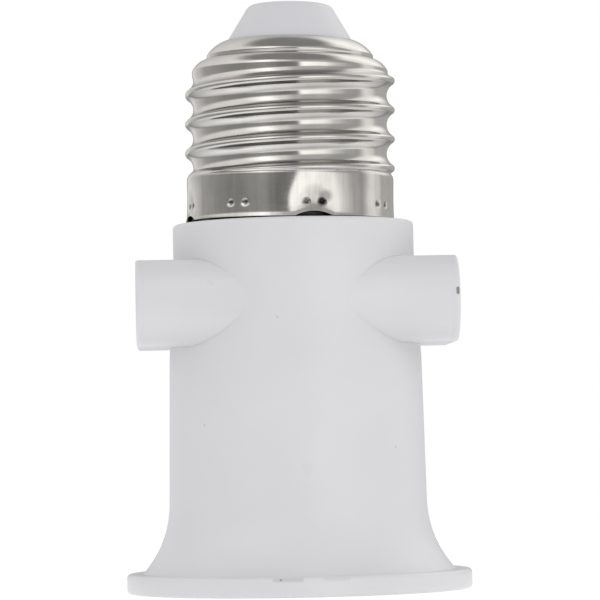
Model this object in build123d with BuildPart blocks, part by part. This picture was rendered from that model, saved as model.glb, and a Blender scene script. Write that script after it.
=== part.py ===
from build123d import *
import os
from math import radians, tan

os.makedirs("parts", exist_ok=True)

# Lamp socket adapter, standing on its mouth. +Z is up, the origin is the middle of the flange's
# underside, and the two side outlets point along -X and +X.

# Driving dimensions, in millimetres and degrees

# Slack between pieces
fit_gap = 0.1             # pieces that slide together
crimp_gap = 0.15          # screw cap over its neck
sleeve_gap = 0.35         # lamp sleeve in the housing's bore

# Flange ring at the mouth
flange_t = 2.4
flange_ledge = 2.0        # rim past the foot of the flare
flange_edge = 0.35
spigot_wall = 1.9
spigot_h = 4.0

# Lamp socket
lamp_r = 13.3             # inside of the lamp sleeve
sleeve_t = 0.35
sleeve_h = 21.0
sleeve_land = 4.5         # flat top of the sleeve, where its rivets sit

# Contact base and rivets
base_t = 2.6
base_gap = 0.15
rivet_r = 1.0
rivet_slack = 0.05
rivet_head_r = 1.4
rivet_head_h = 0.6
rivet_inset = 1.5         # shell rivets from the inner edge of the sleeve's flat top
centre_rivet_y = -5.0

# Sprung centre contact
tongue_t = 0.4
tongue_w = 5.0
tongue_root = 2.2         # flat root either side of its rivet
tongue_run = 2.8          # length over which the tongue drops
tongue_drop = 3.5
tongue_tip = 3.0
tongue_bend = 1.0

# Body
body_wall = 1.57          # at the waist
body_draft = 1.03         # degrees
flare_h = 8.9
flare_spread = 3.4
flare_knee = 5.1          # below the top of the flare, where the lines of its two ends cross
waist_drop = 2.0          # start of the waist below the contact base's seat
waist_h = 8.0
waist_in = 0.69
top_edge = 0.35
chamber_l = 11.0
chamber_h = 13.4
roof_t = 1.85

# Side outlets
outlet_rise = 5.35        # pin axis above the contact base's seat
outlet_proud = 4.62       # end of an outlet past the upper body
outlet_h = 10.5
outlet_wall = 1.2
pin_pitch = 19.0
pin_margin = 4.1          # pin axis to the outlet's rounded end
pin_hole_r = 2.3
face_t = 0.9
face_edge = 0.25
plug_depth = 2.0

# Busbars, folded to a channel round the pins at each end
strip_t = 0.5
strip_w = 3.6
pin_r = 2.0
clip_l = 7.0
clip_gap = 0.4            # end of a clip to the outlet's face plug
tab_w = 2.6
tab_foot = 1.5            # foot past the rivet that it presses on
post_l = 2.6
post_x = 3.6
cheek_t = 0.8
cheek_h = 0.9

# Screw cap
thread_pitch = 3.629
thread_depth = 1.0
cap_crest_r = 13.0
cap_sheet = 0.35
rim_gap = 0.05            # cap's rim above the body's roof
skirt_in = 0.08           # skirt inside the crests
skirt_h = 5.1
skirt_step_h = 0.95
cap_h = 22.7              # rim to the flat top
dome_angle = 45.0
dome_in = 3.63            # threaded wall to the flat ring round the hole
cap_land = 0.87           # width of that ring

# Rolled thread on the cap
crest_half = 0.25         # flat top of the ridge
shoulder_half = 0.65      # where the crest's bevels meet the flanks
shoulder_drop = 0.28
flank_angle = 50.0
thread_phase_h = 3.05     # height of a crest's line above the rim, towards +X
thread_tuck = 0.05        # start of the ridge below the skirt's top
thread_stop = 0.07        # end of the ridge below the dome's foot
thread_bury = 0.18        # ridge's foot inside the sheet
fade_in_turns = 0.45
fade_out_turns = 0.5
ridge_end = 0.12          # size of the ridge at its ends, against its full size
sections_per_turn = 24

# Arched notches in the cap's rim
notch_count = 4
notch_first = -76.5       # angle from +X
notch_w = 4.2
notch_h = 0.65

# Neck that the cap is crimped on
neck_h = 4.95
neck_bore_r = 8.5

# Insulating tip and contact nail
tip_collar_w = 0.45       # collar past the cap's hole
tip_collar_t = 1.0
tip_foot_h = 0.6
tip_mid_h = 2.25
tip_mid_in = 1.2
tip_edge_h = 3.95
tip_edge_in = 2.1
tip_h = 4.8
tip_top_in = 3.1
nail_r = 1.1
nail_slack = 0.05
nail_head_r = 3.2
nail_head_h = 1.2
nail_head_edge = 0.5
nail_l = 6.8

# Lead strips from the cap to the busbars
lead_t = 0.4
lead_w = 2.4
lead_bend = 0.6
lead_y = 7.6              # upright run from the axis
lead_foot = 11.2          # end on the busbar, from the axis
lead_knee_h = 6.0         # bend of the live strip above the cap's rim
lead_end = 1.4            # live strip past the nail's axis
lead_reach_gap = 0.4      # neutral strip's end from the neck's outer edge

# Heights from the flange up
sleeve_z = flange_t + spigot_h
base_z = sleeve_z + sleeve_h
seat_z = base_z + base_t
outlet_z = seat_z + outlet_rise
roof_z = seat_z + chamber_h
top_z = roof_z + roof_t
neck_z = top_z + neck_h
rim_z = top_z + rim_gap
cap_top_z = rim_z + cap_h
tip_z = cap_top_z + tip_h
sleeve_top_z = base_z - sleeve_t
tongue_z = base_z - tongue_t

# Radii from the lamp thread out
mouth_r = lamp_r + fit_gap
spigot_r = mouth_r + spigot_wall
socket_bore_r = lamp_r + sleeve_t + sleeve_gap
waist_r = socket_bore_r + body_wall
waist_z = seat_z - waist_drop
upper_r = waist_r - waist_in
flare_z = flange_t + flare_h
draft_slope = tan(radians(body_draft))
flare_r = waist_r + (waist_z - flare_z) * draft_slope
foot_r = flare_r + flare_spread
flange_r = foot_r + flange_ledge

# Screw cap and its neck
cap_root_r = cap_crest_r - thread_depth
skirt_r = cap_crest_r - skirt_in
neck_r = skirt_r - cap_sheet - crimp_gap
skirt_top_z = rim_z + skirt_h
skirt_step_z = skirt_top_z + skirt_step_h
land_r = cap_root_r - dome_in
cap_hole_r = land_r - cap_land
dome_z = cap_top_z - dome_in * tan(radians(dome_angle))

# Outlets, busbars and rivets
outlet_end = upper_r + outlet_proud - face_t
outlet_w = pin_pitch + 2 * pin_margin
cavity_w = outlet_w - 2 * outlet_wall
cavity_h = outlet_h - 2 * outlet_wall
pin_y = pin_pitch / 2
strip_top_z = outlet_z - pin_r
strip_z = strip_top_z - strip_t
strip_inner = pin_y - strip_w / 2
strip_outer = pin_y + strip_w / 2
clip_end = outlet_end - plug_depth - clip_gap
sleeve_land_r = lamp_r - sleeve_land
shell_rivet_y = sleeve_land_r + rivet_inset


# Housing: neck, roof, side tubes and flared skirt in one moulding
with BuildPart() as housing:
    with BuildSketch(Plane.XZ):
        with BuildLine():
            Polyline((0, neck_z), (0, flange_t), (foot_r, flange_t))
            Bezier((foot_r, flange_t), (flare_r + flare_knee * draft_slope, flare_z - flare_knee),
                   (flare_r, flare_z))
            Polyline((flare_r, flare_z), (waist_r, waist_z), (upper_r, waist_z + waist_h),
                     (upper_r, top_z - top_edge), (upper_r - top_edge, top_z), (neck_r, top_z),
                     (neck_r, neck_z), (0, neck_z))
        make_face()
    revolve(axis=Axis.Z)
    with BuildSketch(Plane.YZ.offset(-outlet_end)):
        with Locations((0, outlet_z)):
            SlotOverall(outlet_w, outlet_h)
    extrude(amount=2 * outlet_end)
    # Bores for the ring's spigot, the lamp sleeve and the neck
    for bottom, top, radius in (
        (flange_t, sleeve_z, spigot_r + fit_gap),
        (sleeve_z, seat_z, socket_bore_r),
        (roof_z, neck_z, neck_bore_r),
    ):
        with BuildSketch(Plane.XY.offset(bottom)):
            Circle(radius)
        extrude(amount=top - bottom, mode=Mode.SUBTRACT)
    # Chamber for the busbars, and the two side tubes that open into it
    with BuildSketch(Plane.XY.offset(seat_z)):
        Rectangle(chamber_l, cavity_w)
    extrude(amount=chamber_h, mode=Mode.SUBTRACT)
    with BuildSketch(Plane.YZ.offset(-outlet_end)):
        with Locations((0, outlet_z)):
            SlotOverall(cavity_w, cavity_h)
    extrude(amount=2 * outlet_end, mode=Mode.SUBTRACT)
housing.part.label = "housing"
export_step(housing.part, "parts/housing.step")


# Flange ring, with a spigot that fits in the housing and holds the lamp sleeve up
with BuildPart() as base_ring:
    with BuildSketch(Plane.XZ):
        with BuildLine():
            Polyline((mouth_r, 0), (flange_r, 0), (flange_r, flange_t - flange_edge),
                     (flange_r - flange_edge, flange_t), (spigot_r, flange_t), (spigot_r, sleeve_z),
                     (mouth_r, sleeve_z), close=True)
        make_face()
    revolve(axis=Axis.Z)
base_ring.part.label = "base_ring"
export_step(base_ring.part, "parts/base_ring.step")


# Oval outlet faces, plugged into the side tubes
for side, name in ((-1, "left_outlet_face"), (1, "right_outlet_face")):
    face_plane = Plane.YZ.offset(side * outlet_end)
    with BuildPart() as outlet_face:
        with BuildSketch(face_plane):
            with Locations((0, outlet_z)):
                SlotOverall(outlet_w, outlet_h)
        extrude(amount=side * face_t)
        outer_side = outlet_face.faces().filter_by(Axis.X).sort_by_distance((0, 0, outlet_z))[-1]
        chamfer(outer_side.edges(), face_edge)
        with BuildSketch(face_plane):
            with Locations((0, outlet_z)):
                SlotOverall(cavity_w - 2 * fit_gap, cavity_h - 2 * fit_gap)
        extrude(amount=-side * plug_depth)
        with BuildSketch(face_plane):
            with Locations((-pin_y, outlet_z), (pin_y, outlet_z)):
                Circle(pin_hole_r)
        extrude(amount=face_t + plug_depth, both=True, mode=Mode.SUBTRACT)
    outlet_face.part.label = name
    export_step(outlet_face.part, f"parts/{name}.step")


# Ridge of the cap's rolled thread, rising out of the skirt and sinking into the dome's foot
with BuildPart() as cap_thread:
    ridge_h = thread_depth + thread_bury
    shoulder_h = ridge_h - shoulder_drop
    foot_half = shoulder_half + shoulder_h / tan(radians(flank_angle))
    phase_z = rim_z + thread_phase_h
    first_turn = (skirt_top_z - thread_tuck - phase_z) / thread_pitch
    turns = (dome_z - thread_stop - phase_z) / thread_pitch - first_turn
    section_count = round(turns * sections_per_turn)
    for step in range(section_count + 1):
        run = turns * step / section_count
        fade = min(1, run / fade_in_turns, (turns - run) / fade_out_turns)
        size = ridge_end + (1 - ridge_end) * fade ** 2 * (3 - 2 * fade)
        section_z = phase_z + thread_pitch * (first_turn + run)
        skirt_lift = max(0, skirt_step_z - section_z) * (skirt_r - cap_root_r) / skirt_step_h
        outward = Vector(1, 0, 0).rotate(Axis.Z, 360 * (first_turn + run))
        foot = outward * (cap_root_r - thread_bury + skirt_lift) + Vector(0, 0, section_z)
        half_profile = ((0, foot_half), (shoulder_h, shoulder_half), (ridge_h, crest_half))
        upper_side = [(size * out, size * up) for out, up in half_profile]
        lower_side = [(out, -up) for out, up in reversed(upper_side)]
        with BuildSketch(Plane(origin=foot, x_dir=outward, z_dir=outward.cross(Vector(0, 0, 1)))):
            with BuildLine():
                Polyline(*upper_side, *lower_side, close=True)
            make_face()
    loft(ruled=True)


# Screw cap: one sheet drawn to a skirt, a threaded wall and a dome
with BuildPart() as screw_shell:
    with BuildSketch(Plane.XZ):
        with BuildLine():
            Polyline((skirt_r, rim_z), (skirt_r, skirt_top_z), (cap_root_r, skirt_step_z),
                     (cap_root_r, dome_z), (land_r, cap_top_z), (cap_hole_r, cap_top_z))
            offset(amount=cap_sheet, side=Side.LEFT, kind=Kind.INTERSECTION)
        make_face()
    revolve(axis=Axis.Z)
    add(cap_thread.part)
    notch_r = ((notch_w / 2) ** 2 + notch_h ** 2) / (2 * notch_h)
    with Locations((0, 0, rim_z + notch_h - notch_r)):
        with PolarLocations(skirt_r, notch_count, start_angle=notch_first):
            Cylinder(notch_r, 4 * cap_sheet, rotation=(0, 90, 0), mode=Mode.SUBTRACT)
screw_shell.part.label = "screw_shell"
export_step(screw_shell.part, "parts/screw_shell.step")


# Insulating cone in the cap's hole, with a collar under the dome
with BuildPart() as tip_insulator:
    with BuildSketch(Plane.XZ):
        with BuildLine():
            cone_r = cap_hole_r - fit_gap
            collar_r = cap_hole_r + tip_collar_w
            collar_top_z = cap_top_z - cap_sheet
            collar_z = collar_top_z - tip_collar_t
            nail_hole_r = nail_r + nail_slack
            Polyline((nail_hole_r, collar_z), (collar_r, collar_z), (collar_r, collar_top_z),
                     (cone_r, collar_top_z), (cone_r, cap_top_z + tip_foot_h),
                     (cone_r - tip_mid_in, cap_top_z + tip_mid_h),
                     (cone_r - tip_edge_in, cap_top_z + tip_edge_h), (cone_r - tip_top_in, tip_z),
                     (nail_hole_r, tip_z), close=True)
        make_face()
    revolve(axis=Axis.Z)
tip_insulator.part.label = "tip_insulator"
export_step(tip_insulator.part, "parts/tip_insulator.step")


# Contact nail through the insulator's tip
with BuildPart() as tip_contact:
    with BuildSketch(Plane.XZ):
        with BuildLine():
            nail_top_z = tip_z + nail_head_h
            nail_end_z = tip_z - nail_l
            Polyline((0, nail_end_z), (nail_r, nail_end_z), (nail_r, tip_z), (nail_head_r, tip_z),
                     (nail_head_r, nail_top_z - nail_head_edge),
                     (nail_head_r - nail_head_edge, nail_top_z), (0, nail_top_z), close=True)
        make_face()
    revolve(axis=Axis.Z)
tip_contact.part.label = "tip_contact"
export_step(tip_contact.part, "parts/tip_contact.step")


# Lamp sleeve: the wall for the lamp's thread, and a flat top that is riveted to the contact base
rivet_places = Locations((0, -shell_rivet_y), (0, shell_rivet_y))
with BuildPart() as socket_shell:
    with BuildSketch(Plane.XZ):
        with BuildLine():
            Polyline((lamp_r, sleeve_z), (lamp_r, sleeve_top_z), (sleeve_land_r, sleeve_top_z))
            offset(amount=sleeve_t, side=Side.RIGHT, kind=Kind.INTERSECTION)
        make_face()
    revolve(axis=Axis.Z)
    with BuildSketch(Plane.XY.offset(sleeve_top_z)):
        with rivet_places:
            Circle(rivet_r + rivet_slack)
    extrude(amount=sleeve_t, mode=Mode.SUBTRACT)
socket_shell.part.label = "socket_shell"
export_step(socket_shell.part, "parts/socket_shell.step")


# Contact base: a disc with rivet holes, and slotted posts that carry the busbars
with BuildPart() as contact_base:
    with BuildSketch(Plane.XY.offset(base_z)):
        Circle(socket_bore_r - base_gap)
        with Locations((0, -shell_rivet_y), (0, centre_rivet_y), (0, shell_rivet_y)):
            Circle(rivet_r + rivet_slack, mode=Mode.SUBTRACT)
    extrude(amount=base_t)
    post_places = GridLocations(2 * post_x, pin_pitch, 2, 2)
    with BuildSketch(Plane.XY.offset(seat_z)):
        with post_places:
            Rectangle(post_l, strip_w + 2 * (fit_gap + cheek_t))
    extrude(amount=strip_z + cheek_h - seat_z)
    with BuildSketch(Plane.XY.offset(strip_z)):
        with post_places:
            Rectangle(post_l, strip_w + 2 * fit_gap)
    extrude(amount=cheek_h, mode=Mode.SUBTRACT)
contact_base.part.label = "contact_base"
export_step(contact_base.part, "parts/contact_base.step")


# Sprung tongue that meets the lamp's tip
with BuildPart() as centre_contact:
    with BuildSketch(Plane.YZ.offset(-tongue_w / 2)):
        with BuildLine():
            root_y = centre_rivet_y + tongue_root
            drop_y = root_y + tongue_run
            drop_z = tongue_z - tongue_drop
            FilletPolyline((centre_rivet_y - tongue_root, tongue_z), (root_y, tongue_z),
                           (drop_y, drop_z), (drop_y + tongue_tip, drop_z), radius=tongue_bend)
            offset(amount=tongue_t, side=Side.LEFT)
        make_face()
    extrude(amount=tongue_w)
    with BuildSketch(Plane.XY.offset(tongue_z)):
        with Locations((0, centre_rivet_y)):
            Circle(rivet_r + rivet_slack)
    extrude(amount=tongue_t, mode=Mode.SUBTRACT)
centre_contact.part.label = "centre_contact"
export_step(centre_contact.part, "parts/centre_contact.step")


# Rivets: one through the tongue, and a pair through the lamp sleeve
for name, head_z, places in (
    ("centre_rivet", tongue_z, Locations((0, centre_rivet_y))),
    ("shell_rivets", sleeve_top_z, rivet_places),
):
    with BuildPart() as rivets:
        with BuildSketch(Plane.XY.offset(head_z)):
            with places:
                Circle(rivet_head_r)
        extrude(amount=-rivet_head_h)
        with BuildSketch(Plane.XY.offset(head_z)):
            with places:
                Circle(rivet_r)
        extrude(amount=seat_z - head_z)
    rivets.part.label = name
    export_step(rivets.part, f"parts/{name}.step")


# Busbars: a strip with a channel for the pin at each end, and a tab folded down to a rivet
for side, name, rivet_y, toward in (
    (-1, "live_busbar", -centre_rivet_y, -1),
    (1, "neutral_busbar", shell_rivet_y, 1),
):
    with BuildPart() as busbar:
        with BuildSketch(Plane.XY.offset(strip_z)):
            with Locations((0, side * pin_y)):
                Rectangle(2 * clip_end, strip_w)
        extrude(amount=strip_t)
        for end in (-1, 1):
            with BuildSketch(Plane.YZ.offset(end * clip_end)):
                with BuildLine():
                    inner = side * strip_inner
                    outer = side * strip_outer
                    clip_top_z = outlet_z + pin_r
                    Polyline((outer, strip_top_z), (inner, strip_top_z), (inner, clip_top_z),
                             (outer, clip_top_z))
                    offset(amount=strip_t, side=Side.LEFT if side > 0 else Side.RIGHT,
                           kind=Kind.INTERSECTION)
                make_face()
            extrude(amount=-end * clip_l)
        with BuildSketch(Plane.YZ.offset(-tab_w / 2)):
            with BuildLine():
                tab_y = strip_inner - strip_t / 2
                heel = side * (tab_y - toward * strip_t / 2)
                knee = side * (tab_y + toward * strip_t / 2)
                toe = side * (rivet_y + toward * tab_foot)
                Polyline((heel, strip_top_z), (heel, seat_z), (toe, seat_z), (toe, seat_z + strip_t),
                         (knee, seat_z + strip_t), (knee, strip_top_z), close=True)
            make_face()
        extrude(amount=tab_w)
    busbar.part.label = name
    export_step(busbar.part, f"parts/{name}.step")


# Lead strips: from the live busbar to the nail, and from the neutral one over the neck to the cap
for name, bend_side, path in (
    ("live_lead", Side.LEFT, (
        (-lead_foot, strip_top_z), (-lead_y, strip_top_z), (-lead_y, rim_z + lead_knee_h),
        (-lead_end, nail_end_z - lead_t), (lead_end, nail_end_z - lead_t))),
    ("neutral_lead", Side.RIGHT, (
        (lead_foot, strip_top_z), (lead_y, strip_top_z), (lead_y, neck_z + lead_t),
        (neck_r - lead_reach_gap, neck_z + lead_t))),
):
    with BuildPart() as lead:
        with BuildSketch(Plane.YZ.offset(-lead_w / 2)):
            with BuildLine():
                FilletPolyline(*path, radius=lead_bend)
                offset(amount=lead_t, side=bend_side)
            make_face()
        extrude(amount=lead_w)
    lead.part.label = name
    export_step(lead.part, f"parts/{name}.step")
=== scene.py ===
from math import atan, cos, exp, hypot, pi, radians, sin, sqrt, tan

import bmesh
import bpy
from mathutils import Matrix, Vector


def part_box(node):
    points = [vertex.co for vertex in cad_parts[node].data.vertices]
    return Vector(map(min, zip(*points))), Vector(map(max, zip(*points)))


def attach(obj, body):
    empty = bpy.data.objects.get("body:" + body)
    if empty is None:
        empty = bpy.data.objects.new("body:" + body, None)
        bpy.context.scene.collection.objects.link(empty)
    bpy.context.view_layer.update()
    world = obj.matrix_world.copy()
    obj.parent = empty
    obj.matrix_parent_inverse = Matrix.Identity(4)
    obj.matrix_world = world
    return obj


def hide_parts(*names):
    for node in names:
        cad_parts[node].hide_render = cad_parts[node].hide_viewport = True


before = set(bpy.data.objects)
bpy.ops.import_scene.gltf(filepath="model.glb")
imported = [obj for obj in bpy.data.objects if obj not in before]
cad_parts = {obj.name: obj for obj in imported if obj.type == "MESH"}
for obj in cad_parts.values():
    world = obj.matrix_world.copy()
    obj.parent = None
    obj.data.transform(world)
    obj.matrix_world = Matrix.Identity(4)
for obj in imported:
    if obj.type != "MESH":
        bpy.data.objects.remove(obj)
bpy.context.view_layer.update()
scene = bpy.context.scene
MM = 0.001

# Sizes in millimetres and angles in degrees, read from the solids where they give them

cap_low, cap_high = (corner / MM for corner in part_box("screw_shell"))
_, ring_high = (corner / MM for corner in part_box("base_ring"))
_, body_high = (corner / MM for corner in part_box("housing"))
lid_low, lid_high = (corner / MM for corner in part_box("right_outlet_face"))
tip_low, tip_high = (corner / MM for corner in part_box("tip_insulator"))
nail_low, nail_high = (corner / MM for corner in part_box("tip_contact"))
sleeve_low, sleeve_high = (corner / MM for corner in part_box("socket_shell"))

# Screw cap: sheet and skirt
sheet_t = 0.35
rim_z = cap_low.z
cap_top_z = cap_high.z - 0.25     # sunk a little in the crimping
hole_r = 7.9
root_r = 12.0                     # in the hollows of the thread
skirt_r = 12.86
skirt_spread = 0.14               # how far the skirt widens down to its rim
rim_flare = 0.07
rim_flare_h = 0.5
shoulder_z = rim_z + 5.1          # where the skirt's round shoulder starts
shoulder_h = 1.5
shoulder_drop = 2.2
shoulder_fillet = 0.06
cap_lean = 1.0                    # how far the cap was crimped out of true, towards +X
cap_shift = (-0.33, 0, 0.02)

# Screw cap: dome and collar
dome_r = 10.5                     # the dome's foot, in the fine ring round it
dome_bow = 1.48                   # how round the dome's side is
groove_z = cap_top_z - 2.25
groove_depth = 0.24
groove_w = 0.28
collar_r = 12.14                  # the round collar under the dome, where it is widest
collar_z = cap_top_z - 3.75
collar_bow = 1.36
collar_foot = 1.3                 # how far below that it has narrowed to the thread's root

# Screw cap: thread
thread_depth = 1.0
thread_pitch = 3.629
thread_phase_z = rim_z + 3.05     # a crest's line towards +X
crest_round = 0.48                # radius of the thread's crest
flank_angle = 2 * atan(thread_depth / (thread_pitch / 2))
hollow_round = thread_pitch / 2 / sin(flank_angle) - crest_round
thread_start = (shoulder_z - 0.2, shoulder_z + 0.7)     # where it grows out of the skirt
thread_end = (collar_z - 0.9, collar_z - 0.2)           # where it dies away under the collar

# Screw cap: crimps
crimp_count = 4                   # pairs of dots over notches, and as many between them
notch_first = -78.4               # the notch in front, from +X
plain_first = -31.4               # the next pair to the right of it
crimp_half = 4.5                  # from the pair's middle to each dot
crimp_z = rim_z + 1.75
crimp_r = 0.46
crimp_slope = (0.25, 1.25)        # where a dot's side starts and ends, in its radii
crimp_depth = 0.17
pull_w = 3.4                      # pull of the sheet round a crimp, across and up
pull_h = 3.0
notch_pull = 0.5                  # its depth at a notch, and at the other crimps
plain_pull = 0.1
notch_half = 2.5
notch_h = 0.62
notch_fade = 2.4                  # height over which the sheet is lifted with the notch

# Insulating tip and contact nail
tip_sunk = 0.5
tip_slope = 0.6                   # how fast the tip's cone narrows
tip_gap = 0.1
tip_round = 1.15
tip_foot_round = 0.1
nail_bore_r = 1.15
shank_r = 1.1
nail_edge_h = 0.08
nail_edge_round = 0.06
nail_dome_r = 1.6                 # where the head's dome bends, its height there and its bend
nail_dome_h = 0.28
nail_dome_round = 3
nail_head_h = 0.3
axis_r = 0.05                     # where an open outline ends beside the axis

# Lamp sleeve
land_r = 8.8                      # opening in the sleeve's flat top
sleeve_groove = 0.9
sleeve_shoulder = 1.2
sleeve_start = (sleeve_low.z + 0.8, sleeve_low.z + 2.4)     # where its thread starts and ends
sleeve_end = (sleeve_high.z - 4.2, sleeve_high.z - 2.6)
sleeve_corner = 0.4
sleeve_corner_in = 0.6

# Body
flange_t = 2.4
flange_r = ring_high.x
mouth_r = 13.4
spigot_r = 15.3
spigot_z = ring_high.z
spigot_gap = 0.1
mouth_round = 0.3
flange_foot_round = 0.45
flange_top_round = 0.5
foot_r = body_high.x
flare_z = 11.3
flare_r = 15.87
flare_knee = 5.1
waist_r = 15.57
waist_z = 28.0
upper_r = 14.88
upper_z = 36.0
body_top_z = 45.25
top_round = 0.45
rim_ring_r = 13.05                # the joint under the cap's rim, dark with the neck's painted shadow
rim_ring_h = 0.2
rim_ring_round = 0.05
neck_r = 11.6
neck_round = 0.3
neck_z = body_high.z
bore_r = 8.5                      # through the neck
cavity_r = 14.0                   # round the lamp sleeve
seat_z = 30.0
roof_z = 43.4
slot_half = 5.5                   # half the room for the busbars, along X

# Side outlets
outlet_z = (lid_low.z + lid_high.z) / 2
outlet_h = lid_high.z - lid_low.z
outlet_w = lid_high.y - lid_low.y
outlet_wall = 1.2
inner_w = outlet_w - 2 * outlet_wall
inner_h = outlet_h - 2 * outlet_wall
lid_t = 0.9
lid_end = lid_high.x
lid_round = 0.3
tube_end = lid_end - lid_t
plug_depth = 2.0
plug_gap = 0.1
seam_inset = 0.012                # the lid's fine edge at its joint
seam_w = 0.05
pin_y = 9.5
pin_hole_r = 2.3

small_round = 0.2                 # edges that hardly show
cut_past = 1                      # how far a cutter reaches past what it cuts
crisp_angle = 38                  # edges over this stay crisp: on moulded, rolled and kept pieces
rolled_angle = 50
cad_crisp_angle = 35


# Mesh helpers

def turned_point(radius, angle, z):
    """The point at a radius, an angle round the Z axis and a height."""
    return (radius * cos(angle), radius * sin(angle), z)


def round_angles(count):
    """Even steps round a circle."""
    return [2 * pi * step / count for step in range(count)]


def skin(rows, count, closed):
    """Faces between rows of points round a form. A closed form joins its last row to its first, and an open
    one gets two ends."""
    faces = []
    for row in range(rows if closed else rows - 1):
        low = row * count
        high = (row + 1) % rows * count
        for step in range(count):
            turn = (step + 1) % count
            faces.append((low + step, low + turn, high + turn, high + step))
    if not closed:
        faces.append(tuple(reversed(range(count))))
        faces.append(tuple(range((rows - 1) * count, rows * count)))
    return faces


def shade(mesh, sharp):
    """Smooth shading, with edges over the sharp angle kept crisp."""
    mesh.shade_smooth()
    mesh.set_sharp_from_angle(angle=radians(sharp))


def add_piece(name, vertices, faces, sharp=crisp_angle):
    """A smooth mesh object from points in millimetres."""
    mesh = bpy.data.meshes.new(name)
    mesh.from_pydata([Vector(v) * MM for v in vertices], [], faces)
    mesh.validate()
    shade(mesh, sharp)
    piece = bpy.data.objects.new(name, mesh)
    scene.collection.objects.link(piece)
    return piece


def rounded(corners, closed=True):
    """Points along an outline of (x, y, radius) corners, each rounded by its radius."""
    steps = 6
    points = []
    for index, (x, y, radius) in enumerate(corners):
        corner = Vector((x, y))
        if radius == 0 or (not closed and index in (0, len(corners) - 1)):
            points.append(corner)
            continue
        back = (Vector(corners[index - 1][:2]) - corner).normalized()
        ahead = (Vector(corners[(index + 1) % len(corners)][:2]) - corner).normalized()
        half = back.angle(ahead) / 2
        middle = corner + (back + ahead).normalized() * radius / sin(half)
        start = corner + back * radius / tan(half) - middle
        turn = start.angle_signed(corner + ahead * radius / tan(half) - middle)
        points += [middle + Matrix.Rotation(-turn * step / steps, 2) @ start for step in range(steps + 1)]
    return points


def lathe(name, outline, segments, closed=True):
    """A solid turned round the Z axis from (radius, height) points. An open outline ends beside the axis."""
    vertices = [turned_point(radius, angle, z) for radius, z in outline for angle in round_angles(segments)]
    return add_piece(name, vertices, skin(len(outline), segments, closed))


def stadium(width, height, inset):
    """Points (y, z) round a slot shape that is drawn in by the inset."""
    steps = 40
    radius = height / 2 - inset
    reach = (width - height) / 2
    points = []
    for side in (1, -1):
        for step in range(steps + 1):
            angle = -pi / 2 + pi * step / steps
            points.append((side * (reach + radius * cos(angle)), side * radius * sin(angle)))
    return points


def slot_stack(name, layers):
    """A solid along X through slot-shaped layers of (x, width, height, inset), at the outlets' height."""
    vertices = []
    for x, width, height, inset in layers:
        vertices += [(x, y, outlet_z + z) for y, z in stadium(width, height, inset)]
    return add_piece(name, vertices, skin(len(layers), len(vertices) // len(layers), False))


def box_tool(low, high):
    """A plain box between two corners, for cutting."""
    corners = [(x, y, z) for x in (low[0], high[0]) for y in (low[1], high[1]) for z in (low[2], high[2])]
    faces = [(0, 1, 3, 2), (4, 6, 7, 5), (0, 4, 5, 1), (2, 3, 7, 6), (0, 2, 6, 4), (1, 5, 7, 3)]
    return add_piece("cutter", corners, faces)


def rod_tool(ends, y, z, radius):
    """A round bar along X between its two ends, for cutting."""
    steps = 48
    vertices = [(x, y + radius * cos(angle), z + radius * sin(angle))
                for x in ends for angle in round_angles(steps)]
    return add_piece("cutter", vertices, skin(2, steps, False))


def combine(piece, tool, operation):
    """Joins a tool to a piece or cuts it out, and deletes the tool."""
    modifier = piece.modifiers.new("combine", "BOOLEAN")
    modifier.operation = operation
    modifier.solver = "EXACT"
    modifier.object = tool
    graph = bpy.context.evaluated_depsgraph_get()
    mesh = bpy.data.meshes.new_from_object(piece.evaluated_get(graph))
    piece.modifiers.clear()
    piece.data = mesh
    bpy.data.objects.remove(tool)
    shade(mesh, crisp_angle)


def weld(piece, sharp):
    """Merges the points of a piece that lie on one another."""
    near = 1e-4 * MM
    form = bmesh.new()
    form.from_mesh(piece.data)
    bmesh.ops.remove_doubles(form, verts=form.verts, dist=near)
    bmesh.ops.dissolve_degenerate(form, edges=form.edges, dist=near)
    form.to_mesh(piece.data)
    form.free()
    shade(piece.data, sharp)


def smooth_step(low, high, value):
    """0 below low, 1 above high, with an even ease between them."""
    share = min(1, max(0, (value - low) / (high - low)))
    return share * share * (3 - 2 * share)


def bump_at(distance, width):
    """A bell of height 1 that is nearly gone at twice the width."""
    return exp(-(distance / width) ** 2)


# Material helpers

def grey(level):
    """A neutral colour."""
    return (level, level, level)


def new_material(name):
    """A node material with its node tree and its shader."""
    material = bpy.data.materials.new(name)
    material.use_nodes = True
    return material, material.node_tree, material.node_tree.nodes["Principled BSDF"]


def object_place(tree):
    """The place of a point on its object."""
    return tree.nodes.new("ShaderNodeTexCoord").outputs["Object"]


def axes(tree, vector):
    """The X, Y and Z outputs of a vector."""
    split = tree.nodes.new("ShaderNodeSeparateXYZ")
    tree.links.new(vector, split.inputs["Vector"])
    return split.outputs


def noise_node(tree, scale, detail, stretch=(1, 1, 1)):
    """The factor of a noise in object space, in features per millimetre."""
    mapping = tree.nodes.new("ShaderNodeMapping")
    mapping.inputs["Scale"].default_value = [scale / MM * s for s in stretch]
    noise = tree.nodes.new("ShaderNodeTexNoise")
    noise.inputs["Scale"].default_value = 1
    noise.inputs["Detail"].default_value = detail
    tree.links.new(object_place(tree), mapping.inputs["Vector"])
    tree.links.new(mapping.outputs["Vector"], noise.inputs["Vector"])
    return noise.outputs["Fac"]


def ranged(tree, value, low, high, start=0.3, end=0.7):
    """Maps a factor between start and end to the range low to high."""
    node = tree.nodes.new("ShaderNodeMapRange")
    node.inputs["From Min"].default_value = start
    node.inputs["From Max"].default_value = end
    node.inputs["To Min"].default_value = low
    node.inputs["To Max"].default_value = high
    tree.links.new(value, node.inputs["Value"])
    return node.outputs["Result"]


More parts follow.
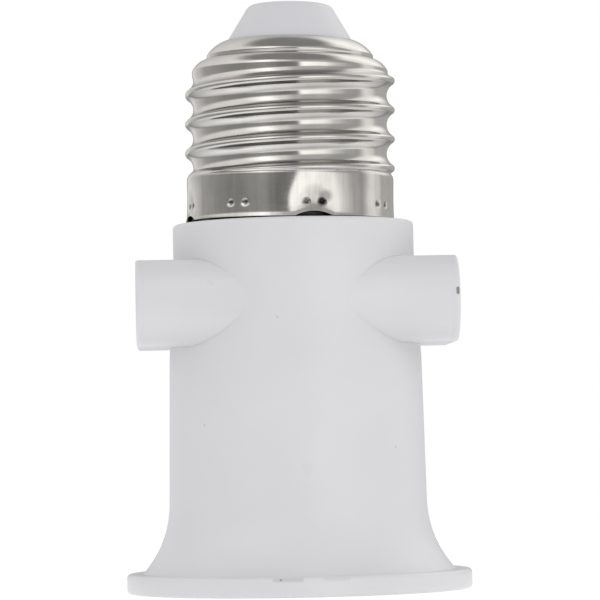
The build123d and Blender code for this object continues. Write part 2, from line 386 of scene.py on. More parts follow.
def mixed(tree, factor, first, second):
    """A colour between two, by a factor. Either colour may be a socket."""
    node = tree.nodes.new("ShaderNodeMix")
    node.data_type = "RGBA"
    tree.links.new(factor, node.inputs["Factor"])
    for socket, colour in ((node.inputs[6], first), (node.inputs[7], second)):
        if isinstance(colour, bpy.types.NodeSocket):
            tree.links.new(colour, socket)
        else:
            socket.default_value = (*colour, 1)
    return node.outputs[2]


def math_node(tree, operation, first, second=None):
    """The result of a sum on one or two values. Either may be a socket."""
    node = tree.nodes.new("ShaderNodeMath")
    node.operation = operation
    for socket, value in zip(node.inputs, (first, second)):
        if isinstance(value, bpy.types.NodeSocket):
            tree.links.new(value, socket)
        elif value is not None:
            socket.default_value = value
    return node.outputs["Value"]


def vector_node(tree, operation, vector, other=(0, 0, 0)):
    """The number that an operation on a vector gives, with a second vector where it takes one."""
    node = tree.nodes.new("ShaderNodeVectorMath")
    node.operation = operation
    node.inputs[1].default_value = other
    tree.links.new(vector, node.inputs[0])
    return node.outputs["Value"]


def clear_of(tree, joints, near, far):
    """A factor that is 0 near the joints, given as (axis, distance from the middle), and 1 away from them."""
    place = axes(tree, object_place(tree))
    clear = None
    for axis, distance in joints:
        beside = math_node(tree, "SUBTRACT", math_node(tree, "ABSOLUTE", place[axis]), distance * MM)
        share = ranged(tree, math_node(tree, "ABSOLUTE", beside), 0, 1, near * MM, far * MM)
        clear = math_node(tree, "MINIMUM", clear, share) if clear else share
    return clear


def relief(tree, shader, height, distance, edge=0, joints=()):
    """Adds a fine relief to a shader, over edges that are rounded by the given radius in millimetres.

    Edges at the joints stay sharp, so that two flush pieces show no seam."""
    bump = tree.nodes.new("ShaderNodeBump")
    bump.inputs["Strength"].default_value = 1
    bump.inputs["Distance"].default_value = distance * MM
    tree.links.new(height, bump.inputs["Height"])
    if edge:
        bevel = tree.nodes.new("ShaderNodeBevel")
        bevel.samples = 6
        bevel.inputs["Radius"].default_value = edge * MM
        if joints:
            clear = clear_of(tree, joints, near=edge, far=3 * edge)
            grown = math_node(tree, "MULTIPLY", clear, edge * MM)
            tree.links.new(grown, bevel.inputs["Radius"])
        tree.links.new(bevel.outputs["Normal"], bump.inputs["Normal"])
    tree.links.new(bump.outputs["Normal"], shader.inputs["Normal"])


def spot_mask(tree, spots):
    """The strongest of several soft round spots of (place, radius, strength) in millimetres."""
    core = 0.4                        # share of a spot's radius that has its full strength
    place = object_place(tree)
    strongest = None
    for centre, radius, strength in spots:
        distance = vector_node(tree, "DISTANCE", place, Vector(centre) * MM)
        spot = ranged(tree, distance, strength, 0, core * radius * MM, radius * MM)
        strongest = math_node(tree, "MAXIMUM", strongest, spot) if strongest else spot
    return strongest


def plastic(name, colour, spots=(), gloss=0.38, edge=0.25, joints=()):
    """Moulded white plastic: faint clouding, fine moulded skin, and small dark spots of dirt and of painted
    shade.
    """
    cloud_shade = 0.965               # the darkest clouds, as a share of the colour
    skin_depth = 0.006
    material, tree, shader = new_material(name)
    cloud = ranged(tree, noise_node(tree, scale=0.09, detail=4), 0, 1)
    tone = mixed(tree, cloud, [c * cloud_shade for c in colour], colour)
    if spots:
        # dark spots: dirt, and on the flange ring the painted shade of its joint
        tone = mixed(tree, spot_mask(tree, spots), tone, dirt_and_shade_colour)
    polish = ranged(tree, noise_node(tree, scale=0.5, detail=5), gloss - 0.05, gloss + 0.06)
    tree.links.new(tone, shader.inputs["Base Color"])
    tree.links.new(polish, shader.inputs["Roughness"])
    relief(tree, shader, noise_node(tree, scale=1.6, detail=4), skin_depth, edge, joints)
    return material


def plated(name, bright, dull, smooth=0.09, rough=0.17, edge=0.0):
    """Plated sheet metal: drawing lines round the axis and clouded polish."""
    line_depth = 0.0012
    material, tree, shader = new_material(name)
    shader.inputs["Metallic"].default_value = 1
    cloud = ranged(tree, noise_node(tree, scale=0.35, detail=5), 0, 1)
    lines = noise_node(tree, scale=0.25, detail=3, stretch=(1, 1, 26))
    tree.links.new(mixed(tree, cloud, dull, bright), shader.inputs["Base Color"])
    tree.links.new(ranged(tree, lines, smooth, rough), shader.inputs["Roughness"])
    relief(tree, shader, lines, line_depth, edge)
    return material


def lay_dirt_and_shade(material, mask, colour):
    """Lays a colour over a material's own where the mask says: wear, and painted shade."""
    tree = material.node_tree
    base = tree.nodes["Principled BSDF"].inputs["Base Color"]
    tree.links.new(mixed(tree, mask, base.links[0].from_socket, colour), base)


# Shape of the screw cap's sheet

def thread_height(away):
    """How far the thread stands out at an axial distance from its crest: two arcs that meet on the flank."""
    if away < crest_round * sin(flank_angle):
        return thread_depth - crest_round + sqrt(crest_round ** 2 - away ** 2)
    reach = thread_pitch / 2 - away
    return hollow_round - sqrt(hollow_round ** 2 - reach ** 2)


def bowed(share, power):
    """Falls from 1 to 0 on a bowed curve as the share goes from 0 to 1."""
    return (1 - min(1, max(0, share)) ** power) ** (1 / power)


def stem_radius(z):
    """Radius of the cap's sheet without its thread: the root, the collar over it, and the dome."""
    if z > groove_z:
        radius = hole_r + (dome_r - hole_r) * bowed((z - groove_z) / (cap_top_z - groove_z), dome_bow)
    elif z > collar_z:
        radius = dome_r + (collar_r - dome_r) * bowed((z - collar_z) / (groove_z - collar_z), collar_bow)
    else:
        radius = root_r + (collar_r - root_r) * smooth_step(collar_z - collar_foot, collar_z, z)
    return radius - groove_depth * bump_at(z - groove_z, groove_w)


def cap_radius(angle, z):
    """Outer radius of the screw cap's sheet at an angle and height."""
    turns = (z - thread_phase_z) / thread_pitch - angle / (2 * pi)
    away = abs(turns - round(turns)) * thread_pitch
    threaded = smooth_step(*thread_start, z) * (1 - smooth_step(*thread_end, z))
    wall = stem_radius(z) + thread_height(away) * threaded
    over = max(0, z - shoulder_z) / shoulder_h
    if over >= 1:
        return wall
    skirt = skirt_r - shoulder_drop * (1 - sqrt(1 - over * over))
    skirt += skirt_spread * max(0, shoulder_z - z) / (shoulder_z - rim_z)
    skirt += rim_flare * (1 - smooth_step(rim_z, rim_z + rim_flare_h, z))
    return (wall + skirt) / 2 + hypot((wall - skirt) / 2, shoulder_fillet)


def crimp_offset(angle, first):
    """The angle from the nearest crimp of a set to the given one."""
    spread = 2 * pi / crimp_count
    return (angle - radians(first) + spread / 2) % spread - spread / 2


def notch_rise(angle):
    """How far the cap's rim is arched up at an angle."""
    arc = crimp_offset(angle, notch_first) * skirt_r / notch_half
    return notch_h * max(0, 1 - arc * arc)


def crimp_dent(angle, z):
    """Depth of the punched dots, with the shallow pull of the sheet round each pair."""
    rise = z - crimp_z
    side_start, side_end = (crimp_r * share for share in crimp_slope)
    depth = 0.0
    for first, pull in ((notch_first, notch_pull), (plain_first, plain_pull)):
        away = crimp_offset(angle, first)
        for side in (-1, 1):
            distance = hypot((away - side * radians(crimp_half)) * skirt_r, rise)
            depth += crimp_depth * (1 - smooth_step(side_start, side_end, distance))
        depth += pull * bump_at(hypot(away * skirt_r / pull_w, rise / pull_h), 1)
    return depth


# Where the crooked cap sits, with its tip and nail

lean = Matrix.Rotation(radians(cap_lean), 4, "Y")
pivot = Matrix.Translation(Vector((skirt_r / 2, 0, rim_z)) * MM)
cap_place = Matrix.Translation(Vector(cap_shift) * MM) @ pivot @ lean @ pivot.inverted()


def skirt_point(angle, z):
    """The point of the finished cap's sheet at an angle in degrees and a height."""
    angle = radians(angle)
    radius = cap_radius(angle, z) - crimp_dent(angle, z)
    return cap_place @ (Vector(turned_point(radius, angle, z)) * MM) / MM


def crimp_points():
    """The middles of the punched dots on the skirt, those of the notch in front first."""
    return [skirt_point(first + 360 / crimp_count * number + side * crimp_half, crimp_z)
            for first in (notch_first, plain_first) for number in range(crimp_count) for side in (-1, 1)]


# Wear, dirt and painted shade. A spot is (point, radius, strength)

# dark colour of the dirt specks, and of the painted shade on the flange
dirt_and_shade_colour = (0.12, 0.11, 0.10)
streak_colour = (0.34, 0.33, 0.32)
# Painted shade on the thread's steep flanks
flank_shade_colour = (0.39, 0.38, 0.367)
# Painted shade in streaks over the notches
notch_shade_colour = (0.25, 0.24, 0.23)
# Painted shade in the punched dots and beside the right dot in front
crimp_shade_colour = (0.03, 0.028, 0.026)

outlet_smears = (                 # x, rise over the outlet's axis, radius, strength
    (-10.7, 2.35, 0.4, 0.05),
    (-10.3, 2.15, 0.35, 0.05),
)
body_marks = (                    # x, z, the body's radius there, radius, strength
    (-11.5, 20.5, 15.7, 0.22, 0.22),
    (11.5, 17.4, 15.8, 0.22, 0.2),
    (-2.6, 33.2, 15.0, 0.24, 0.2),
    (0.5, 15.2, 15.8, 0.9, 0.035),
    (0.2, 15.5, 15.8, 0.25, 0.06),
    (0.6, 14.3, 15.8, 0.35, 0.05),
)
# Painted shade: a broken dark line along the flange, for the shadow in the crevice at its joint
flange_shade_lines = ((-3.7, -0.6, 0.2), (2.4, 5.0, 0.08))     # first x, last x, strength
flange_shade_z = flange_t - 0.25
flange_shade_r = 0.42
flange_speck = (-3.0, 0.24, 0.75)     # x, radius, strength
lid_speck = (0.28, 0.85)          # radius and strength of each of its spots
lid_speck_x = lid_end - 0.32
lid_speck_rises = (0.45, 0.7, 0.95)
dot_shade = (0.48, 0.8)            # painted shade: radius and strength in most crimp dots, and in the two in front
left_dot_shade = (0.5, 0.7)
right_dot_shade = (0.8, 1.0)
shade_patch = (1.0, 0.5)          # a patch of painted shade beside the right one of these
shade_patch_turn = 2.2
shade_patch_rise = 0.7
# Painted shade over the notches: its rise over the dots and its radius
notch_shade_rise = 0.35
notch_shade_r = 2.0
# Painted shadow: how dark the neck and the joint under the cap are painted, and over what height it fades in
painted_neck_shadow = 0.015
painted_neck_shadow_h = 0.1
flank_shade_slope = (0.5, 0.8)           # how far up or down the sheet faces where the painted shade starts and is full
flank_shade_fade = 0.6


def front_point(x, z, radius):
    """The point of a round body's front at x and z."""
    return (x, -sqrt(radius ** 2 - x ** 2), z)


def outlet_point(x, rise):
    """The point of an outlet's round front at x, and at a rise over its axis."""
    return (x, -(outlet_w - outlet_h) / 2 - sqrt((outlet_h / 2) ** 2 - rise ** 2), outlet_z + rise)


def body_spots():
    """Smears on the left outlet and faint marks on the body."""
    spots = [(outlet_point(x, rise), radius, strength) for x, rise, radius, strength in outlet_smears]
    spots += [(front_point(x, z, body_r), radius, strength) for x, z, body_r, radius, strength in body_marks]
    return spots


def ring_spots():
    """The broken dark line near the flange's upper edge, painted shade for the crevice at its joint, and the
    dirt speck in it.
    """
    steps = 12
    x, radius, strength = flange_speck
    spots = [(front_point(x, flange_shade_z, flange_r), radius, strength)]
    # painted shade of the joint's crevice, as a row of soft spots
    for first_x, last_x, strength in flange_shade_lines:
        for step in range(steps + 1):
            x = first_x + (last_x - first_x) * step / steps
            spots.append((front_point(x, flange_shade_z, flange_r), flange_shade_r, strength))
    return spots


def lid_spots():
    """The dark speck on the right outlet's edge."""
    return [(outlet_point(lid_speck_x, rise), *lid_speck) for rise in lid_speck_rises]


def crimp_shade_spots():
    """Painted shade in the punched dots. The pair in front has more of it, with a patch of painted shade
    beside its right dot.
    """
    left_dot, right_dot, *others = crimp_points()
    shade_patch_point = skirt_point(notch_first + crimp_half + shade_patch_turn, crimp_z + shade_patch_rise)
    spots = [(left_dot, *left_dot_shade), (right_dot, *right_dot_shade), (shade_patch_point, *shade_patch)]
    return spots + [(point, *dot_shade) for point in others]


def paint_neck_shadow(material):
    """Paints the neck and the joint under the cap nearly black: a painted shadow where the cap hides them."""
    tree = material.node_tree
    height = axes(tree, object_place(tree))["Z"]
    # painted shadow: all above the body's top is painted nearly black
    mask = ranged(tree, height, 0, 1, body_top_z * MM, (body_top_z + painted_neck_shadow_h) * MM)
    lay_dirt_and_shade(material, mask, grey(painted_neck_shadow))


def streak(material):
    """Faint polishing streaks up and down the skirt, and hardly any above it."""
    tree = material.node_tree
    strength = 0.2
    above = 0.2                       # share of it over the skirt
    noise = noise_node(tree, scale=2.2, detail=3, stretch=(1, 1, 0.05))
    lines = ranged(tree, noise, 0, strength, start=0.42, end=0.68)
    height = axes(tree, object_place(tree))["Z"]
    below = ranged(tree, height, 1, above, shoulder_z * MM, (shoulder_z + shoulder_h) * MM)
    lay_dirt_and_shade(material, math_node(tree, "MULTIPLY", lines, below), streak_colour)


def paint_flank_shade(material):
    """Painted shade on the steep flanks of the rolled thread, and none above the collar."""
    tree = material.node_tree
    slope = axes(tree, tree.nodes.new("ShaderNodeNewGeometry").outputs["Normal"])["Z"]
    # painted shade: the sheet is darkened by how steeply it faces up or down
    steep = ranged(tree, math_node(tree, "ABSOLUTE", slope), 0, 1, *flank_shade_slope)
    height = axes(tree, object_place(tree))["Z"]
    below = ranged(tree, height, 1, 0, (collar_z - flank_shade_fade) * MM, collar_z * MM)
    lay_dirt_and_shade(material, math_node(tree, "MULTIPLY", steep, below), flank_shade_colour)


def paint_notch_shade(material):
    """Dark streaks over the notches: painted shade that dulls the bright reflection in the pulled sheet
    there.
    """
    tree = material.node_tree
    spots = [(skirt_point(notch_first + 360 / crimp_count * number, crimp_z + notch_shade_rise), notch_shade_r, 1.0)
             for number in range(crimp_count)]
    noise = noise_node(tree, scale=1.5, detail=3, stretch=(1, 1, 0.2))
    lines = ranged(tree, noise, 0.25, 0.8)
    lay_dirt_and_shade(material, math_node(tree, "MULTIPLY", spot_mask(tree, spots), lines), notch_shade_colour)


# Materials, by the record's slots

white = (0.722, 0.722, 0.737)
white_plastic = plastic("white_plastic", white, body_spots(), edge=0.5,
                        joints=(("Z", flange_t), ("X", tube_end)))
paint_neck_shadow(white_plastic)
ring_plastic = plastic("ring_plastic", white, ring_spots())
lid_plastic = plastic("lid_plastic", white, lid_spots(), edge=0.1, joints=(("X", tube_end),))
tip_plastic = plastic("tip_plastic", (0.67, 0.67, 0.69), gloss=0.42)
base_plastic = plastic("base_plastic", (0.62, 0.61, 0.60), gloss=0.5)
nickel = plated("nickel", (0.70, 0.685, 0.66), (0.62, 0.605, 0.58))
streak(nickel)
paint_flank_shade(nickel)
paint_notch_shade(nickel)
# painted shade in the punched dots
lay_dirt_and_shade(nickel, spot_mask(nickel.node_tree, crimp_shade_spots()), crimp_shade_colour)
sleeve_nickel = plated("plated_sleeve", (0.68, 0.66, 0.62), (0.55, 0.53, 0.49), smooth=0.2, rough=0.36)
brass = plated("brass", (0.78, 0.60, 0.30), (0.62, 0.46, 0.22), smooth=0.2, rough=0.38, edge=0.1)
rivet_metal = plated("rivet_metal", (0.74, 0.58, 0.32), (0.56, 0.43, 0.24), smooth=0.25, rough=0.4, edge=0.15)


# Screw cap, tip and nail

def build_cap():
    """The screw cap as one sheet: rings on the skirt and the dome, and rows along the thread between them."""
    segments = 360
    skirt_rows = 40
    dome_rows = 56
    crest_steps = 5
    hollow_steps = 10
    thread_low = shoulder_z - 0.3     # the rows along the thread lie between these heights
    thread_high = collar_z + 0.6
    angles = round_angles(segments)
    vertices = []
    faces = []

    def add_point(angle, z):
        lift = notch_rise(angle) * (1 - smooth_step(rim_z, rim_z + notch_fade, z))
        radius = cap_radius(angle, z) - crimp_dent(angle, z)
        vertices.append(turned_point(radius, angle, z + lift))

    def add_faces(first, rows, shift=0):
        for row in range(rows):
            low = first + row * segments
            for step in range(segments):
                turn = (step + 1) % segments
                over = low + turn + (shift * segments if turn == 0 else 0)
                if over + segments < len(vertices):
                    faces.append((low + step, over, over + segments, low + segments + step))

    for row in range(skirt_rows + 1):
        for angle in angles:
            add_point(angle, rim_z + (thread_low - rim_z) * row / skirt_rows)
    add_faces(0, skirt_rows)

    crest_rows = [crest_round * sin(flank_angle * (step / crest_steps - 1))
                  for step in range(2 * crest_steps)]
    hollow_rows = [thread_pitch / 2 - hollow_round * sin(flank_angle * (1 - step / hollow_steps))
                   for step in range(2 * hollow_steps)]
    pitch_rows = crest_rows + hollow_rows
    first_turn = int((thread_low - thread_phase_z) // thread_pitch) - 2
    last_turn = int((thread_high - thread_phase_z) // thread_pitch) + 1
    first = len(vertices)
    for turn in range(first_turn, last_turn + 1):
        for away in pitch_rows:
            for angle in angles:
                z = thread_phase_z + thread_pitch * (turn + angle / (2 * pi)) + away
                add_point(angle, min(thread_high, max(thread_low, z)))
    add_faces(first, (last_turn - first_turn + 1) * len(pitch_rows) - 1, len(pitch_rows))

    first = len(vertices)
    for row in range(dome_rows + 1):
        for angle in angles:
            add_point(angle, thread_high + (cap_top_z - thread_high) * sin(pi / 2 * row / dome_rows))
    inner_rim_r = skirt_r - sheet_t
    inner_skirt_r = inner_rim_r - notch_pull
    inner_skirt_z = rim_z + 3
    inner_root_r = root_r - sheet_t - 0.15
    inner_root_step = 1               # how far from the shoulder and the collar the lining is at the root
    inner_dome_r = root_r - 3.4
    inner_top_z = cap_top_z - sheet_t
    inner_dome_z = inner_top_z - 1.2
    lining = [(hole_r, cap_top_z), (hole_r, inner_top_z), (inner_dome_r, inner_dome_z),
              (inner_root_r, collar_z - inner_root_step), (inner_root_r, shoulder_z + inner_root_step),
              (inner_skirt_r, shoulder_z), (inner_skirt_r, inner_skirt_z)]
    for radius, z in lining:
        vertices += [turned_point(radius, angle, z) for angle in angles]
    for angle in angles:
        radius = inner_rim_r - crimp_dent(angle, rim_z)
        vertices.append(turned_point(radius, angle, rim_z + notch_rise(angle)))
    add_faces(first, dome_rows + len(lining) + 1)
    last = len(vertices) - segments
    for step in range(segments):
        turn = (step + 1) % segments
        faces.append((last + step, last + turn, turn, step))
    cap = add_piece("screw_cap", vertices, faces, rolled_angle)
    weld(cap, rolled_angle)
    return cap


def build_tip():
    """The insulating cone with its soft top edge."""
    cone_r = hole_r - tip_gap
    foot_z = cap_top_z - sheet_t
    top_z = tip_high.z - tip_sunk
    top_r = cone_r - tip_slope * (top_z - cap_top_z)
    outline = rounded([(nail_bore_r, tip_low.z, 0), (tip_high.x, tip_low.z, small_round),
                       (tip_high.x, foot_z, tip_foot_round), (cone_r, foot_z, 0),
                       (cone_r, cap_top_z, small_round), (top_r, top_z, tip_round), (nail_bore_r, top_z, 0)])
    return lathe("tip_cone", outline, segments=160)


def build_nail():
    """The contact nail's domed head and shank."""
    head_r = nail_high.x
    head_z = tip_high.z - tip_sunk
    outline = rounded([(axis_r, nail_low.z, 0), (shank_r, nail_low.z, small_round), (shank_r, head_z, 0),
                       (head_r, head_z, 0), (head_r, head_z + nail_edge_h, nail_edge_round),
                       (nail_dome_r, head_z + nail_dome_h, nail_dome_round),
                       (axis_r, head_z + nail_head_h, 0)], closed=False)
    return lathe("contact_nail", outline, segments=96, closed=False)


# Lamp sleeve

def build_sleeve():
    """The lamp sleeve as a rolled sheet with its thread, under a flat top."""
    segments = 240
    wall_rows = 96
    low_z = sleeve_low.z
    top_z = sleeve_high.z
    outer_r = sleeve_high.x
    angles = round_angles(segments)
    rows = [low_z + (top_z - sleeve_shoulder - low_z) * step / wall_rows for step in range(wall_rows + 1)]
    top = ((outer_r, top_z - sleeve_corner), (outer_r - sleeve_corner, top_z), (land_r, top_z),
           (land_r, top_z - sheet_t), (outer_r - sleeve_corner_in, top_z - sheet_t),
           (outer_r - sheet_t, top_z - sleeve_corner_in))

    def wall(z, angle):
        turns = (z - low_z) / thread_pitch - angle / (2 * pi)
        fade = smooth_step(*sleeve_start, z) * (1 - smooth_step(*sleeve_end, z))
        return outer_r - sleeve_groove * fade * (0.5 + 0.5 * cos(2 * pi * turns))

    vertices = [turned_point(wall(z, angle), angle, z) for z in rows for angle in angles]
    vertices += [turned_point(radius, angle, z) for radius, z in top for angle in angles]
    vertices += [turned_point(wall(z, angle) - sheet_t, angle, z) for z in reversed(rows) for angle in angles]
    return add_piece("lamp_sleeve", vertices, skin(len(vertices) // segments, segments, True), rolled_angle)


# Body and lids

def build_housing():
    """The moulded body: a turned shell, the two side tubes and the hollows for the contacts."""
    flare_steps = 24
    wall_steps = 12
    waist_steps = 16
    flare = []
    for step in range(flare_steps + 1):
        share = step / flare_steps
        ends = (1 - share) ** 2
        middle = 2 * share * (1 - share)
        flare.append((ends * foot_r + middle * flare_r + share ** 2 * flare_r,
                      ends * flange_t + middle * (flare_z - flare_knee) + share ** 2 * flare_z))
    wall = [(flare_r + (waist_r - flare_r) * step / wall_steps,
             flare_z + (waist_z - flare_z) * step / wall_steps) for step in range(1, wall_steps)]
    waist = []
    for step in range(waist_steps + 1):
        share = step / waist_steps
        waist.append((waist_r + (upper_r - waist_r) * smooth_step(0, 1, share),
                      waist_z + (upper_z - waist_z) * share))
    rise = [(upper_r, upper_z + (body_top_z - top_round - upper_z) * step / wall_steps)
            for step in range(1, wall_steps)]
    ring_z = body_top_z + rim_ring_h
    top = rounded([(upper_r, upper_z, 0), (upper_r, body_top_z, top_round), (rim_ring_r, body_top_z, 0),
                   (rim_ring_r, ring_z, rim_ring_round), (neck_r, ring_z, 0), (neck_r, neck_z, neck_round),
                   (bore_r, neck_z, small_round), (bore_r, seat_z, 0)], closed=False)[1:]
    inside = [(cavity_r, seat_z), (cavity_r, spigot_z), (spigot_r + spigot_gap, spigot_z),
              (spigot_r + spigot_gap, flange_t)]
    body = lathe("moulded_body", flare + wall + waist + rise + top + inside, segments=240)
    tube = slot_stack("tube", [(x, outlet_w, outlet_h, 0) for x in (-tube_end, tube_end)])
    combine(body, tube, "UNION")
    past = tube_end + cut_past
    bore = slot_stack("cutter", [(x, inner_w, inner_h, 0) for x in (-past, past)])
    combine(body, bore, "DIFFERENCE")
    room = box_tool((-slot_half, -inner_w / 2, seat_z - cut_past), (slot_half, inner_w / 2, roof_z))
    combine(body, room, "DIFFERENCE")
    return body


def build_ring():
    """The flange ring, with its rim's edges rounded over."""
    outline = rounded([(mouth_r, 0, mouth_round), (flange_r, 0, flange_foot_round),
                       (flange_r, flange_t, flange_top_round), (spigot_r, flange_t, 0),
                       (spigot_r, spigot_z, small_round), (mouth_r, spigot_z, small_round)])
    return lathe("flange_ring", outline, segments=256)


def build_lid(side):
    """An oval outlet lid with its plug and its two pin holes."""
    round_steps = 6
    layers = [(tube_end - plug_depth, inner_w, inner_h, plug_gap), (tube_end, inner_w, inner_h, plug_gap),
              (tube_end, outlet_w, outlet_h, seam_inset), (tube_end + seam_w, outlet_w, outlet_h, 0)]
    for step in range(round_steps + 1):
        angle = pi / 2 * step / round_steps
        x = lid_end - lid_round * (1 - sin(angle))
        layers.append((x, outlet_w, outlet_h, lid_round * (1 - cos(angle))))
    if side < 0:
        layers = [(-x, width, height, inset) for x, width, height, inset in reversed(layers)]
    lid = slot_stack("right_lid" if side > 0 else "left_lid", layers)
    ends = sorted((side * (tube_end - plug_depth - cut_past), side * (lid_end + cut_past)))
    for y in (-pin_y, pin_y):
        combine(lid, rod_tool(ends, y, outlet_z, pin_hole_r), "DIFFERENCE")
    return lid


# Pieces of the scene, each on its solid

new_pieces = (
    (build_cap(), "screw_shell", nickel, "nickel"),
    (build_sleeve(), "socket_shell", sleeve_nickel, "plated_sleeve"),
    (build_housing(), "housing", white_plastic, "white_plastic"),
    (build_ring(), "base_ring", ring_plastic, "white_plastic"),
    (build_lid(-1), "left_outlet_face", lid_plastic, "white_plastic"),
    (build_lid(1), "right_outlet_face", lid_plastic, "white_plastic"),
    (build_tip(), "tip_insulator", tip_plastic, "tip_plastic"),
    (build_nail(), "tip_contact", brass, "brass"),
)
for piece, node, material, slot in new_pieces:
    if node in ("screw_shell", "tip_insulator", "tip_contact"):
        piece.data.transform(cap_place)
    piece.data.materials.clear()
    piece.data.materials.append(material)
    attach(piece, "root")
    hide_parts(node)

# The other solids are shown as they are
kept_nodes = {
    "contact_base": base_plastic,
    "centre_contact": brass,
    "centre_rivet": rivet_metal,
    "shell_rivets": rivet_metal,
    "live_busbar": brass,
    "neutral_busbar": brass,
    "live_lead": brass,
    "neutral_lead": brass,
}
for node, material in kept_nodes.items():
    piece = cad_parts[node]
    split = piece.modifiers.new("crisp_edges", "EDGE_SPLIT")
    split.split_angle = radians(cad_crisp_angle)
    piece.data.materials.clear()
    piece.data.materials.append(material)


# Floor, light and camera

floor_r = 230
floor_z = -0.03                   # clear of the flange's face
floor_even = (0.8, 0.33)          # the floor's colour and glow as it lights the object
floor_seen = (0.25, 0.85)         # and as the camera sees it
table_lit = (0.45, 1.2)           # its level in reflections towards the soft box, near the object and far
table_away = (1.25, 0.2)          # and on the other sides
table_near = 60
lit_start = 20                    # where the side towards the soft box starts, and where it is full
lit_full = 90
lit_bearing = 30                  # bearing of the soft box beside the camera

# Brightness of the studio in reflections, by bearing from the camera towards +X: level with the cap, in the
# bands above and below that, and overhead. Then the share of each band by elevation
level_stops = (
    (-180, 0.3), (-170, 0.45), (-160, 0.85), (-141, 0.69), (-116, 0.43), (-98, 0.38), (-82, 0.31),
    (-60, 0.29), (-44, 0.34), (-32, 0.37), (-21, 0.3), (-10, 0.22), (7, 0.25), (12, 1.5), (36, 1.3),
    (56, 0.75), (71, 0.5), (85, 0.45), (101, 1.0), (112, 0.9), (122, 0.55), (150, 0.5), (180, 0.3),
)
side_stops = (
    (-180, 0.6), (-133, 0.9), (-100, 0.95), (-70, 1.0), (-34, 1.65), (-12, 0.95), (4, 0.6), (20, 0.55),
    (40, 0.56), (62, 0.45), (88, 0.45), (108, 1.1), (135, 1.4), (180, 0.6),
)
overhead = 0.27
side_share = ((-90, 1), (-30, 1), (-12, 0), (10, 0), (26, 1), (90, 1))
overhead_share = ((-90, 0), (0, 0), (52, 0), (68, 1), (90, 1))
studio_tint = (1, 0.988, 0.968)
even_light = (0.86, 0.86, 0.87)

soft_box_place = (330, -260, 320)
soft_box_aim = (0, 0, 35)
soft_box_size = 260
soft_box_power = 0.2

eye_distance = 415
eye_bearing = -2.1
eye_z = 18.3
eye_aim = (0.7, 0, 35.8)
eye_roll = -1.13
focal_length = 201.3
sensor_width = 36
clip_start = 10


def cloth(tree, colour, glow):
    """A grey cloth that glows a little."""
    dull = tree.nodes.new("ShaderNodeBsdfDiffuse")
    dull.inputs["Color"].default_value = (*grey(colour), 1)
    light = tree.nodes.new("ShaderNodeEmission")
    light.inputs["Strength"].default_value = glow
    both = tree.nodes.new("ShaderNodeAddShader")
    tree.links.new(dull.outputs["BSDF"], both.inputs[0])
    tree.links.new(light.outputs["Emission"], both.inputs[1])
    return both.outputs["Shader"]


def build_floor():
    """A floor that the camera sees as plain white, and that can be seen through from below."""
    steps = 128
    rim = [turned_point(floor_r, angle, floor_z) for angle in round_angles(steps)]
    floor = add_piece("floor", rim, [tuple(range(steps))])
    material, tree, shader = new_material("floor")
    nodes, links = tree.nodes, tree.links
    nodes.remove(shader)
    place = object_place(tree)
    out = ranged(tree, vector_node(tree, "LENGTH", place), 0, 1, table_near * MM, floor_r * MM)
    lit_way = (sin(radians(lit_bearing)), -cos(radians(lit_bearing)), 0)
    toward = vector_node(tree, "DOT_PRODUCT", place, lit_way)
    lit_side = ranged(tree, toward, 0, 1, lit_start * MM, lit_full * MM)
    away, lit = (mixed(tree, out, grey(near), grey(far)) for near, far in (table_away, table_lit))
    shown = nodes.new("ShaderNodeEmission")
    links.new(mixed(tree, lit_side, away, lit), shown.inputs["Color"])
    path = nodes.new("ShaderNodeLightPath").outputs
    from_below = nodes.new("ShaderNodeNewGeometry").outputs["Backfacing"]
    clear = nodes.new("ShaderNodeBsdfTransparent").outputs["BSDF"]
    surface = cloth(tree, *floor_even)
    for share, other in ((path["Is Glossy Ray"], shown.outputs["Emission"]),
                         (path["Is Camera Ray"], cloth(tree, *floor_seen)), (from_below, clear)):
        mix = nodes.new("ShaderNodeMixShader")
        links.new(share, mix.inputs["Fac"])
        links.new(surface, mix.inputs[1])
        links.new(other, mix.inputs[2])
        surface = mix.outputs["Shader"]
    links.new(surface, nodes["Material Output"].inputs["Surface"])
    floor.data.materials.append(material)


def ramp_node(tree, value, stops):
    """A ramp in the studio's tint over a factor, from (place, level) stops."""
    node = tree.nodes.new("ShaderNodeValToRGB")
    node.color_ramp.interpolation = "EASE"
    while len(node.color_ramp.elements) < len(stops):
        node.color_ramp.elements.new(0.5)
    for element, (place, level) in zip(node.color_ramp.elements, stops):
        element.position = place
        element.color = (*(level * tint for tint in studio_tint), 1)
    tree.links.new(value, node.inputs["Fac"])
    return node.outputs["Color"]


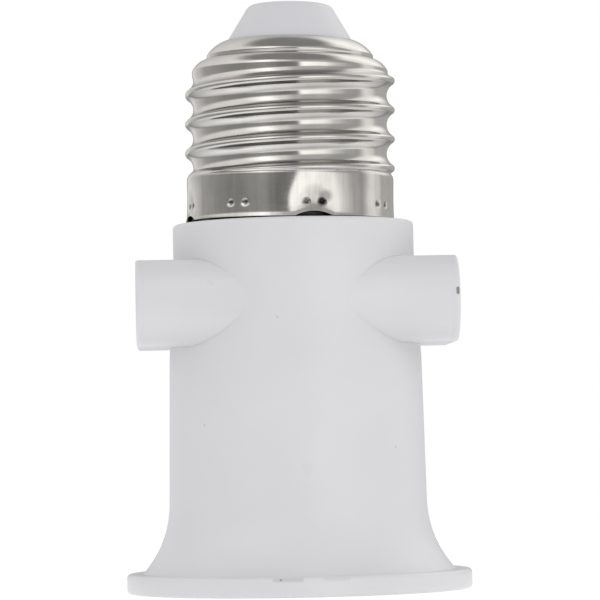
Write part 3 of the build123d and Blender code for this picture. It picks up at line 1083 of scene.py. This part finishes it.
def build_world():
    """White behind the object, even light on it, and a studio with one large soft box in its reflections."""
    world = bpy.data.worlds.new("studio")
    scene.world = world
    world.use_nodes = True
    tree = world.node_tree
    nodes, links = tree.nodes, tree.links
    nodes.clear()
    way = axes(tree, nodes.new("ShaderNodeTexCoord").outputs["Generated"])
    bearing = math_node(tree, "ARCTAN2", way["X"], math_node(tree, "MULTIPLY", way["Y"], -1))
    round_share = ranged(tree, bearing, 0, 1, -pi, pi)
    level_band, side_band = (
        ramp_node(tree, round_share, [((angle + 180) / 360, level) for angle, level in stops])
        for stops in (level_stops, side_stops))
    rise_share = ranged(tree, way["Z"], 0, 1, -1, 1)
    beside, above = (
        ramp_node(tree, rise_share, [(0.5 + 0.5 * sin(radians(angle)), share) for angle, share in stops])
        for stops in (side_share, overhead_share))
    studio = mixed(tree, beside, level_band, side_band)
    studio = mixed(tree, above, studio, grey(overhead))
    path = nodes.new("ShaderNodeLightPath").outputs
    lit = mixed(tree, path["Is Glossy Ray"], even_light, studio)
    backdrop = mixed(tree, path["Is Camera Ray"], lit, grey(1))
    background = nodes.new("ShaderNodeBackground")
    output = nodes.new("ShaderNodeOutputWorld")
    links.new(backdrop, background.inputs["Color"])
    links.new(background.outputs["Background"], output.inputs["Surface"])


def add_soft_box():
    """A large square lamp that lights the object and isn't seen in its reflections."""
    lamp = bpy.data.lights.new("soft_box", "AREA")
    lamp.shape = "SQUARE"
    lamp.size = soft_box_size * MM
    lamp.energy = soft_box_power
    place = Vector(soft_box_place)
    holder = bpy.data.objects.new("soft_box", lamp)
    holder.location = place * MM
    holder.rotation_euler = (Vector(soft_box_aim) - place).to_track_quat("-Z", "Y").to_euler()
    holder.visible_glossy = False
    scene.collection.objects.link(holder)


def build_camera():
    """A long lens that looks up a little from beside the body's lower half, as the photograph was taken."""
    bearing = radians(eye_bearing)
    eye = Vector((eye_distance * sin(bearing), -eye_distance * cos(bearing), eye_z))
    lens = bpy.data.cameras.new("camera")
    lens.sensor_width = sensor_width
    lens.lens = focal_length
    lens.clip_start = clip_start * MM
    camera = bpy.data.objects.new("camera", lens)
    look = (Vector(eye_aim) - eye).to_track_quat("-Z", "Y").to_matrix()
    turn = look @ Matrix.Rotation(radians(eye_roll), 3, "Z")
    camera.matrix_world = Matrix.Translation(eye * MM) @ turn.to_4x4()
    scene.collection.objects.link(camera)
    scene.camera = camera


build_floor()
build_world()
add_soft_box()
build_camera()
scene.view_settings.view_transform = "Standard"
